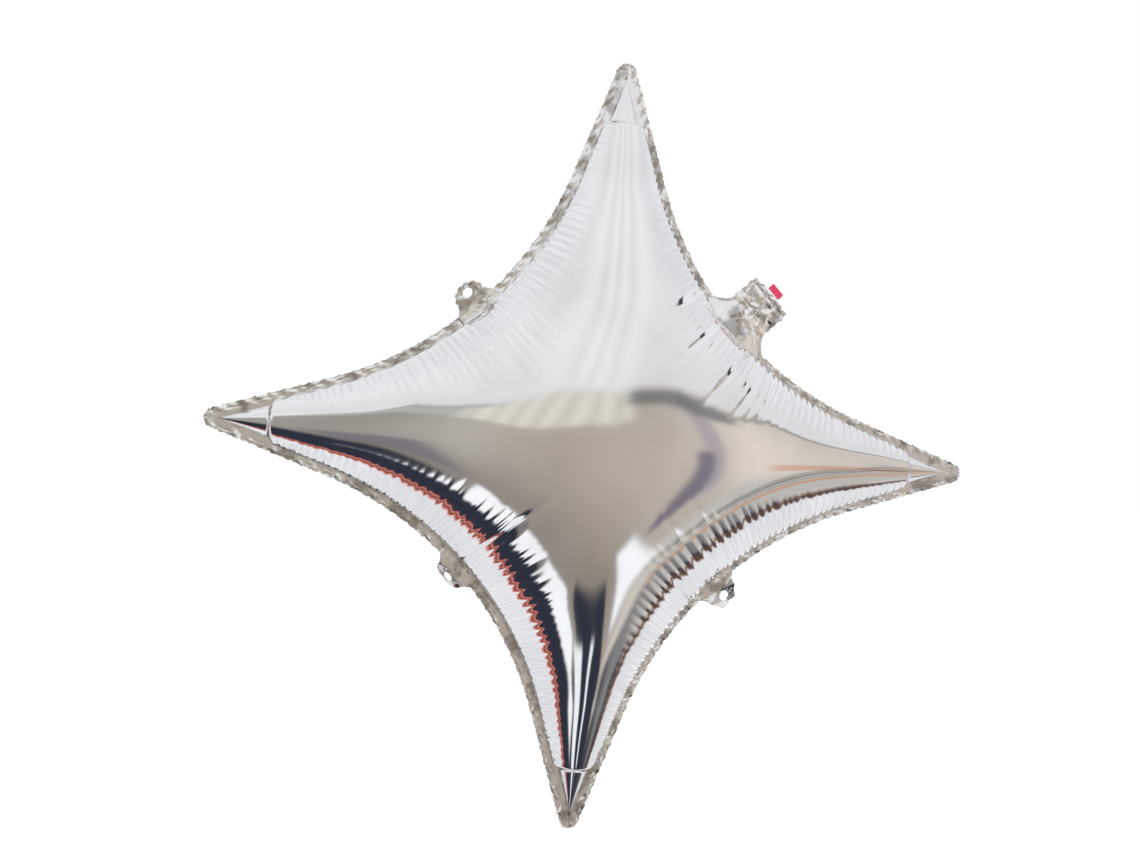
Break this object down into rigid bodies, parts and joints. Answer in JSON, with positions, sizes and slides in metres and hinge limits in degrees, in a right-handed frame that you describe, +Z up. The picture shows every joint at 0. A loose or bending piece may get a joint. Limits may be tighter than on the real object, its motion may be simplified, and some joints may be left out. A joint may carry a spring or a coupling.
{
  "type": "four-point star foil balloon",
  "caption": "Inflated silver foil star with long concave-sided arms, a welded seam, ribbon tabs and a filling neck.",
  "frame": {"origin": "centre of the balloon, where it floats", "axes": "+Z up along one arm, +X along the next arm, +Y from the front film to the back film"},
  "size_m": [0.54, 0.137, 0.54],
  "materials": {
    "foil": "mirror-bright metallised film",
    "foil_weld": "crumpled metallised film, heat welded",
    "clear_film": "clear soft film",
    "valve_end": "pink-red printed film"
  },
  "bodies": {
    "balloon": {"envelope_front": "foil", "envelope_back": "foil", "seam_flange": "foil_weld", "neck_web": "foil_weld"},
    "tab_upper_left": {"hang_tab_upper_left": "foil_weld"},
    "tab_lower_left": {"hang_tab_lower_left": "foil_weld"},
    "tab_lower_right": {"hang_tab_lower_right": "foil_weld"},
    "neck": {"neck_sleeve": "foil_weld", "valve_film": "clear_film", "valve_end": "valve_end"}
  },
  "joints": [
    {"name": "tab_upper_left_fold", "type": "hinge", "parent": "balloon", "child": "tab_upper_left", "pos_m": [-0.095, 0, 0.095], "axis": [0.7071, 0, 0.7071], "range_deg": [-75, 75], "stiffness_Nm_per_rad": 0.0005},
    {"name": "tab_lower_left_fold", "type": "hinge", "parent": "balloon", "child": "tab_lower_left", "pos_m": [-0.095, 0, -0.095], "axis": [-0.7071, 0, 0.7071], "range_deg": [-75, 75], "stiffness_Nm_per_rad": 0.0005},
    {"name": "tab_lower_right_fold", "type": "hinge", "parent": "balloon", "child": "tab_lower_right", "pos_m": [0.095, 0, -0.095], "axis": [-0.7071, 0, -0.7071], "range_deg": [-75, 75], "stiffness_Nm_per_rad": 0.0005},
    {"name": "neck_fold", "type": "hinge", "parent": "balloon", "child": "neck", "pos_m": [0.10288, 0, 0.10288], "axis": [0.7071, 0, -0.7071], "range_deg": [-75, 75], "stiffness_Nm_per_rad": 0.001}
  ]
}
